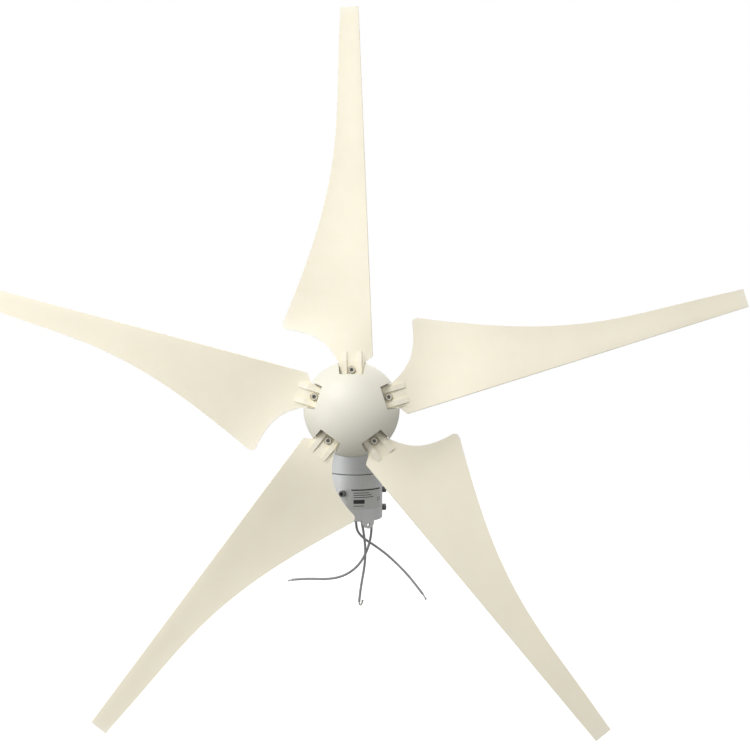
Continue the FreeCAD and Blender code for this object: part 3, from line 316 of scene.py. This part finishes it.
def copper():
    """Varnished wire, laid turn beside turn around each tooth."""
    m = Material("copper_wire", (0.60, 0.24, 0.105), 0.30, 0.9)
    shaft_frame = m.across_shaft((1, 1, 1))
    turns = m.noise(1, 2, where=m.across_shaft((700, 700, 50)))
    m.tint((0.36, 0.12, 0.05), m.ranged(turns, 0.9, 0, 0.35, 0.6))
    m.rough(m.noise(260, 4), 0.22, 0.40)
    m.bump(m.waves(330, shaft_frame, "RINGS", distortion=1.5), 0.6, 0.0004)
    m.bump(turns, 0.5, 0.0003)
    m.shader.inputs["Coat Weight"].default_value = 0.4
    return m.material


def magnet_plate():
    """Nickel plating over the magnets."""
    m = Material("nickel_plate", (0.64, 0.62, 0.58), 0.20, 1.0)
    m.tint((0.45, 0.43, 0.40), m.ranged(m.noise(120, 5), 0, 0.5, 0.5, 0.8))
    m.rough(m.noise(300, 4), 0.15, 0.32)
    m.bump(m.noise(350, 2), 0.08, 0.0001)
    m.edges((0.85, 0.83, 0.79), 0.6)
    return m.material


def slip_brass():
    """Brass with the tracks that the brushes wear around it."""
    m = Material("slip_brass", (0.74, 0.52, 0.22), 0.28, 1.0)
    around = m.noise(1, 3, where=m.mapped(scale=(40, 40, 3500)))
    m.tint((0.30, 0.20, 0.10), m.ranged(around, 0, 0.7, 0.5, 0.75))
    m.rough(around, 0.20, 0.42)
    m.bump(around, 0.25, 0.00008)
    return m.material


def carbon():
    """Pressed carbon with brighter graphite grains."""
    m = Material("carbon_brush", (0.032, 0.032, 0.034), 0.5, 0.3)
    m.tint((0.13, 0.13, 0.135), m.ranged(m.noise(3200, 3), 0, 0.6, 0.55, 0.7))
    m.rough(m.noise(1500, 3), 0.42, 0.62)
    m.bump(m.noise(2600, 3), 0.25, 0.0001)
    return m.material


def insulator():
    """Brown phenolic resin."""
    m = Material("insulator", (0.12, 0.055, 0.03), 0.36)
    m.tint((0.19, 0.095, 0.055), m.ranged(m.noise(260, 5), 0, 0.7, 0.45, 0.7))
    m.rough(m.noise(400, 4), 0.30, 0.46)
    m.bump(m.noise(1200, 2), 0.15, 0.0001)
    m.edges((0.26, 0.15, 0.10), 0.5)
    return m.material


def rubber():
    """Matt black rubber with a dusty bloom."""
    m = Material("seal_rubber", (0.022, 0.022, 0.023), 0.66)
    m.tint((0.06, 0.06, 0.06), m.ranged(m.noise(300, 5), 0, 0.6, 0.5, 0.75))
    m.rough(m.noise(500, 4), 0.55, 0.78)
    m.bump(m.noise(1600, 3), 0.3, 0.00012)
    return m.material


def label_film():
    """Brushed silver film."""
    m = Material("label_film", (0.78, 0.815, 0.815), 0.34)
    streaks = m.noise(1, 3, where=m.mapped(scale=(30, 30, 5000)))
    m.tint((0.86, 0.89, 0.89), m.ranged(streaks, 0, 0.7, 0.4, 0.65))
    m.rough(streaks, 0.26, 0.42)
    m.bump(streaks, 0.12, 0.00004)
    m.edges((0.62, 0.62, 0.62), 0.5)
    return m.material


def label_ink():
    """Matt printing ink."""
    m = Material("label_ink", (0.045, 0.045, 0.048), 0.50)
    m.tint((0.10, 0.10, 0.105), m.ranged(m.noise(2600, 4), 0, 0.8, 0.5, 0.7))
    m.rough(m.noise(1800, 3), 0.42, 0.6)
    m.bump(m.noise(4000, 2), 0.2, 0.00003)
    return m.material


def lead_jacket():
    """Grey PVC insulation, slightly waxy, with scuffs."""
    m = Material("lead_jacket", (0.38, 0.38, 0.39), 0.42)
    m.tint((0.46, 0.46, 0.47), m.ranged(m.noise(90, 5), 0, 0.8, 0.4, 0.7))
    m.tint((0.26, 0.26, 0.265), m.ranged(m.noise(420, 5), 0, 0.5, 0.55, 0.75))
    m.rough(m.noise(300, 4), 0.34, 0.52)
    m.bump(m.noise(900, 3), 0.2, 0.0001)
    m.bump(m.noise(150, 2), 0.2, 0.0003)
    return m.material


def tinned_copper():
    """Bare strands, their tinning worn through in places."""
    m = Material("tinned_copper", (0.60, 0.59, 0.56), 0.32, 1.0)
    m.tint((0.45, 0.36, 0.28), m.ranged(m.noise(900, 4), 0, 0.5, 0.55, 0.8))
    m.rough(m.noise(1500, 3), 0.22, 0.42)
    m.bump(m.noise(5000, 2), 0.2, 0.00004)
    return m.material


STEEL = turned_steel("ground_steel", (0.58, 0.58, 0.585), 0.26)
ZINC = turned_steel("zinc_plate", (0.60, 0.60, 0.56), 0.34)
PAINT = body_paint()
BLADE = blade_plastic()
STAINLESS = stainless()
BLACK = black_oxide()
ALUMINIUM = cast_aluminium()
RUBBER = rubber()
INSULATOR = insulator()
CARBON = carbon()
JACKET = lead_jacket()
WIRE_END = tinned_copper()

SURFACES = {
    "nose_cone": nose_plastic(),
    "hub_plate": ALUMINIUM,
    "blade_clamp_ring": ZINC,
    "outer_blade_bolts": STAINLESS,
    "inner_blade_bolts": STAINLESS,
    "nose_cone_screws": STAINLESS,
    "hub_nut": ZINC,
    "hub_washer": ZINC,
    "hub_key": STEEL,
    "main_shaft": STEEL,
    "shaft_circlip": BLACK,
    "magnet_carrier": ZINC,
    "rotor_magnets": magnet_plate(),
    "nacelle_housing": PAINT,
    "shaft_seal": RUBBER,
    "stator_core": laminations(),
    "stator_windings": copper(),
    "bearing_plate": ALUMINIUM,
    "bearing_plate_bolts": BLACK,
    "cover_gasket": RUBBER,
    "rear_cover": PAINT,
    "rear_cover_screws": STAINLESS,
    "tail_boom": PAINT,
    "tail_fin": BLADE,
    "tail_bolts": STAINLESS,
    "neck_seal": RUBBER,
    "brush_holder": INSULATOR,
    "brush_holder_screws": ZINC,
    "pole_sleeve": PAINT,
    "pole_clamp_screws": BLACK,
    "yaw_shaft": STEEL,
    "yaw_shaft_screws": BLACK,
    "yaw_lock_nut": ZINC,
    "slip_ring_core": INSULATOR,
    "slip_rings": slip_brass(),
    "cable_grommet": RUBBER,
    "rating_label": label_film(),
}
for bearing in ("front_bearing", "rear_bearing", "upper_yaw_bearing", "lower_yaw_bearing"):
    SURFACES[bearing + "_inner"] = STEEL
    SURFACES[bearing + "_outer"] = STEEL
for number in range(1, 6):
    SURFACES[f"blade_{number}"] = BLADE
for number in range(1, 4):
    SURFACES[f"brush_{number}"] = CARBON
    SURFACES[f"brush_spring_{number}"] = ZINC


def dress_nodes():
    for name, material in SURFACES.items():
        for slot in NODES[name].material_slots:
            slot.material = material


# ------------------------------------------------------------------ leads

LEAD_DIAMETER = 0.0038
LEADS = {
    "lead_1": ((-0.005, 0.004, 0), (-0.005, 0.004, -0.021), (-0.0012, 0.0016, -0.042),
               (0.002, 0, -0.062), (0.0035, 0, -0.0765), (0.013, 0, -0.0878),
               (0.0315, 0, -0.0996), (0.0495, 0.001, -0.113), (0.066, 0.002, -0.1285),
               (0.081, 0.003, -0.144), (0.0945, 0.003, -0.1605), (0.107, 0.003, -0.177)),
    "lead_2": ((0.005, -0.005, 0), (0.005, -0.005, -0.0225), (0.0086, -0.0082, -0.0465),
               (0.0132, -0.0095, -0.07), (0.0163, -0.009, -0.092), (0.0172, -0.008, -0.112),
               (0.0156, -0.008, -0.132), (0.012, -0.0085, -0.1525), (0.009, -0.009, -0.171),
               (0.0074, -0.008, -0.1875)),
    "lead_3": ((0.004, 0.006, 0), (0.004, 0.006, -0.02), (0.018, 0.009, -0.042),
               (0.0263, 0.0105, -0.064), (0.0255, 0.0105, -0.086), (0.0203, 0.01, -0.107),
               (0.0102, 0.01, -0.1276), (-0.004, 0.01, -0.1426), (-0.022, 0.0095, -0.1522),
               (-0.043, 0.0095, -0.1559), (-0.065, 0.01, -0.1556), (-0.0835, 0.01, -0.1558),
               (-0.1, 0.01, -0.1576)),
}
STRAND_DIAMETER = 0.00078
OUTER_STRANDS = 6
LAY_LENGTH = 0.011
STRANDS_IN_JACKET = 0.002
STRAND_CONTACT = 0.98           # strands lie this share of a diameter apart, so they touch
SPLAY = 0.5                     # how far the loosest strands stand off at the end
# How each stripped end goes on from its lead's last point.
BARE_ENDS = {
    "lead_1": ((0, 0, 0), (0.0026, -0.0002, -0.0041), (0.0050, -0.0004, -0.0083)),
    "lead_2": ((0, 0, 0), (0.0003, 0, -0.0036), (0.0022, 0.0002, -0.0056),
               (0.0044, 0.0002, -0.0030), (0.0054, 0.0002, 0.0028)),
    "lead_3": ((0, 0, 0), (-0.0029, 0.0001, -0.0006), (-0.0057, 0.0003, -0.0017)),
}


def nurbs(label, points, thickness):
    """A round wire whose line is a NURBS curve with these control points."""
    data = bpy.data.curves.new(label, "CURVE")
    data.dimensions = "3D"
    data.bevel_depth = thickness / 2
    data.bevel_resolution = 6
    data.resolution_u = 12
    data.use_fill_caps = True
    piece = bpy.data.objects.new(label, data)
    bpy.context.scene.collection.objects.link(piece)
    add_spline(data, points)
    return piece


def add_spline(data, points):
    spline = data.splines.new("NURBS")
    spline.points.add(len(points) - 1)
    for point, place in zip(spline.points, points):
        point.co = (*place, 1)
    spline.order_u = 3
    spline.use_endpoint_u = True


def line_of(points):
    """Points read along the NURBS curve with these control points."""
    piece = nurbs("line_reading", points, 0)
    mesh = bpy.data.meshes.new_from_object(piece)
    line = [v.co.copy() for v in mesh.vertices]
    bpy.data.meshes.remove(mesh)
    data = piece.data
    bpy.data.objects.remove(piece)
    bpy.data.curves.remove(data)
    return line


def twisted_strands(label, points):
    """Round strands laid in a helix about one centre strand, slightly splayed at the end."""
    line = line_of(points)
    piece = nurbs(label, points, STRAND_DIAMETER)
    piece.data.bevel_resolution = 3
    piece.data.resolution_u = 4
    travelled = [0.0]
    for a, b in zip(line, line[1:]):
        travelled.append(travelled[-1] + (b - a).length)
    side = Vector((0, 1, 0))
    for k in range(OUTER_STRANDS):
        path = []
        for i, centre in enumerate(line):
            before = line[max(i - 1, 0)]
            after = line[min(i + 1, len(line) - 1)]
            along = (after - before).normalized()
            across = (side - side.dot(along) * along).normalized()
            other = along.cross(across)
            turn = 2 * math.pi * (k / OUTER_STRANDS + travelled[i] / LAY_LENGTH)
            splay = 1 + SPLAY * (travelled[i] / travelled[-1]) ** 4 * (k % 3)
            reach = STRAND_DIAMETER * STRAND_CONTACT * splay
            path.append(centre + reach * (math.cos(turn) * across + math.sin(turn) * other))
        add_spline(piece.data, path)
    return piece


def make_leads():
    for name, points in LEADS.items():
        lead = nurbs(name + "_flex", points, LEAD_DIAMETER)
        lead.data.materials.append(JACKET)
        start = Vector(points[-1])
        route = [start + Vector(step) for step in BARE_ENDS[name]]
        inward = (Vector(points[-2]) - start).normalized() * STRANDS_IN_JACKET
        bare = twisted_strands(name + "_bare_end", [start + inward] + route)
        bare.data.materials.append(WIRE_END)
        for piece in (lead, bare):
            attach(piece, "base")
        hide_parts(name)


# ------------------------------------------------------------------ brush springs


def coil_mesh(label, centre, coil_radius, start, end, wire_radius):
    """A round wire wound along Y from start to end, with its end turns closed."""
    turns = 6
    closed = 0.9                # of a turn, at each end
    per_turn = 24
    sides = 8
    pitch = 2.1 * wire_radius   # of the closed turns, which just clear one another
    first, last = start + wire_radius, end - wire_radius
    steps = turns * per_turn

    def along(i):
        u = i / per_turn
        if u < closed:
            return first + u * pitch
        if u > turns - closed:
            return last - (turns - u) * pitch
        share = (u - closed) / (turns - 2 * closed)
        return first + closed * pitch + share * (last - first - 2 * closed * pitch)

    line = []
    for i in range(steps + 1):
        a = 2 * math.pi * i / per_turn
        line.append(Vector((coil_radius * math.cos(a), along(i), coil_radius * math.sin(a))))
    vertices = []
    faces = []
    for i, middle in enumerate(line):
        ahead = (line[min(i + 1, steps)] - line[max(i - 1, 0)]).normalized()
        outward = Vector((middle.x, 0, middle.z)).normalized()
        side = ahead.cross(outward)
        for k in range(sides):
            a = 2 * math.pi * k / sides
            vertices.append(centre + middle + wire_radius * (math.cos(a) * outward
                                                             + math.sin(a) * side))
    for i in range(steps):
        for k in range(sides):
            a, b = i * sides + k, i * sides + (k + 1) % sides
            faces.append((a, b, b + sides, a + sides))
    faces += [tuple(reversed(range(sides))), tuple(range(steps * sides, (steps + 1) * sides))]
    mesh = bpy.data.meshes.new(label)
    mesh.from_pydata(vertices, [], faces)
    mesh.polygons.foreach_set("use_smooth", [len(f) == 4 for f in faces])
    piece = bpy.data.objects.new(label, mesh)
    bpy.context.scene.collection.objects.link(piece)
    return piece


def make_springs():
    """Each spring as a coil of round wire that fills its part's box, shown in place of the part.
    """
    wire_radius = 0.35 * MM
    for number in range(1, 4):
        node = f"brush_spring_{number}"
        low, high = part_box(node)
        centre = Vector(((low.x + high.x) / 2, 0, (low.z + high.z) / 2))
        piece = coil_mesh(node + "_coil", centre, (high.x - low.x) / 2 - wire_radius,
                          low.y, high.y, wire_radius)
        piece.data.materials.append(ZINC)
        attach(piece, "nacelle")
        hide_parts(node)
        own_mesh(piece)


# ------------------------------------------------------------------ label print


def curved_bar(vertices, faces, radius, start, end, bottom, top, proud):
    """Adds a thin bar bent round the sleeve; angles run from -Y towards +X, in degrees."""
    degrees_per_step = 2
    steps = max(2, int((end - start) / degrees_per_step))
    first = len(vertices)
    for i in range(steps + 1):
        a = math.radians(start + (end - start) * i / steps)
        for r in (radius, radius + proud):
            for z in (bottom, top):
                vertices.append((r * math.sin(a), -r * math.cos(a), z))
    for i in range(steps):
        a = first + 4 * i
        b = a + 4
        faces += [(a + 2, b + 2, b + 3, a + 3), (a, a + 1, b + 1, b),
                  (a + 1, a + 3, b + 3, b + 1), (a, b, b + 2, a + 2)]
    last = first + 4 * steps
    faces += [(first, first + 2, first + 3, first + 1), (last, last + 1, last + 3, last + 2)]


# Each printed bar's first and last angle in degrees, and its upper and lower edge in millimetres
# below the label's top.
LABEL_BARS = ((-4.5, 65, 1.2, 3.2), (0, 33, 6.2, 7.3), (0, 39, 9.6, 10.7), (0, 44, 13.0, 14.1),
              (0, 23, 17.2, 23.4), (0, 22, 26.4, 27.4), (57, 58.6, 15.0, 21.5),
              (62.5, 64.0, 15.0, 21.5))
LABEL_THICKNESS = 0.3 * MM
INK_THICKNESS = 0.05 * MM


def make_label_print():
    """Generic bars in the places of the rating label's lines: nothing on it can be read."""
    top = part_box("rating_label")[1].z
    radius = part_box("pole_sleeve")[1].x + LABEL_THICKNESS
    vertices = []
    faces = []
    for start, end, upper, lower in LABEL_BARS:
        curved_bar(vertices, faces, radius, start, end, top - lower * MM, top - upper * MM,
                   INK_THICKNESS)
    mesh = bpy.data.meshes.new("label_print")
    mesh.from_pydata(vertices, [], faces)
    mesh.materials.append(label_ink())
    piece = bpy.data.objects.new("label_print", mesh)
    bpy.context.scene.collection.objects.link(piece)
    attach(piece, "base")


# ------------------------------------------------------------------ studio


def make_floor():
    """A pale round floor under the turbine that fades out and throws no light back on it."""
    radius, drop = 3.2, 0.05
    rings, sectors = 8, 64
    vertices = [(0, 0, 0)]
    faces = []
    for i in range(1, rings + 1):
        r = radius * i / rings
        for k in range(sectors):
            a = 2 * math.pi * k / sectors
            vertices.append((r * math.cos(a), r * math.sin(a), 0))
    for k in range(sectors):
        after = (k + 1) % sectors
        faces.append((0, 1 + k, 1 + after))
        for i in range(rings - 1):
            a = 1 + i * sectors
            faces.append((a + k, a + sectors + k, a + sectors + after, a + after))
    mesh = bpy.data.meshes.new("floor")
    mesh.from_pydata(vertices, [], faces)
    floor = bpy.data.objects.new("floor", mesh)
    floor.location = (0, 0, CAD_BOX[0].z - drop)
    floor.visible_diffuse = False
    floor.visible_glossy = False
    bpy.context.scene.collection.objects.link(floor)
    m = Material("floor_pale", (0.93, 0.93, 0.925), 0.6)
    away = m.add("ShaderNodeVectorMath", operation="LENGTH")
    m.link(m.place, away.inputs[0])
    fade = m.ranged(away.outputs["Value"], 1, 0, 0.35 * radius, 0.98 * radius)
    m.link(fade, m.shader.inputs["Alpha"])
    m.bump(m.noise(30, 3), 0.05, 0.001)
    m.shader.inputs["Emission Color"].default_value = (1, 1, 1, 1)
    m.shader.inputs["Emission Strength"].default_value = 0.3
    mesh.materials.append(m.material)


def area_light(label, place, side, power):
    """A square lamp that faces the hub."""
    data = bpy.data.lights.new(label, "AREA")
    data.size = side
    data.energy = power
    lamp = bpy.data.objects.new(label, data)
    lamp.location = place
    lamp.rotation_mode = "QUATERNION"
    lamp.rotation_quaternion = (HUB - Vector(place)).to_track_quat("-Z", "Y")
    bpy.context.scene.collection.objects.link(lamp)


def make_light():
    """A soft key from the upper left front, weaker lamps from the right, the lower left and
    behind, and a surround that is dimmer below and pure white to the camera."""
    area_light("key", place=(-1.25, -1.9, 1.9), side=1.3, power=44)
    area_light("fill", place=(2.2, -1.9, 0.7), side=1.6, power=8)
    area_light("low", place=(-1.8, -1.15, -0.2), side=0.9, power=14)
    area_light("back", place=(0.9, 2.4, 2.0), side=2.0, power=34)
    world = bpy.data.worlds.new("studio")
    world.use_nodes = True
    nodes, links = world.node_tree.nodes, world.node_tree.links
    seen = nodes["Background"]
    seen.inputs["Color"].default_value = (1, 1, 1, 1)
    seen.inputs["Strength"].default_value = 1.0
    direction = nodes.new("ShaderNodeSeparateXYZ")
    links.new(nodes.new("ShaderNodeTexCoord").outputs["Generated"], direction.inputs[0])
    height = nodes.new("ShaderNodeMapRange")
    for name, number in (("From Min", -0.5), ("From Max", 0.7), ("To Min", 0.16),
                         ("To Max", 0.66)):
        height.inputs[name].default_value = number
    links.new(direction.outputs["Z"], height.inputs["Value"])
    lighting = nodes.new("ShaderNodeBackground")
    lighting.inputs["Color"].default_value = (1, 1, 1, 1)
    links.new(height.outputs["Result"], lighting.inputs["Strength"])
    path = nodes.new("ShaderNodeLightPath")
    mix = nodes.new("ShaderNodeMixShader")
    links.new(path.outputs["Is Camera Ray"], mix.inputs["Fac"])
    links.new(lighting.outputs[0], mix.inputs[1])
    links.new(seen.outputs[0], mix.inputs[2])
    links.new(mix.outputs[0], nodes["World Output"].inputs["Surface"])
    bpy.context.scene.world = world


bpy.context.scene.view_settings.view_transform = "Standard"
make_camera()
make_leads()
make_springs()
dress_nodes()
make_label_print()
make_floor()
make_light()
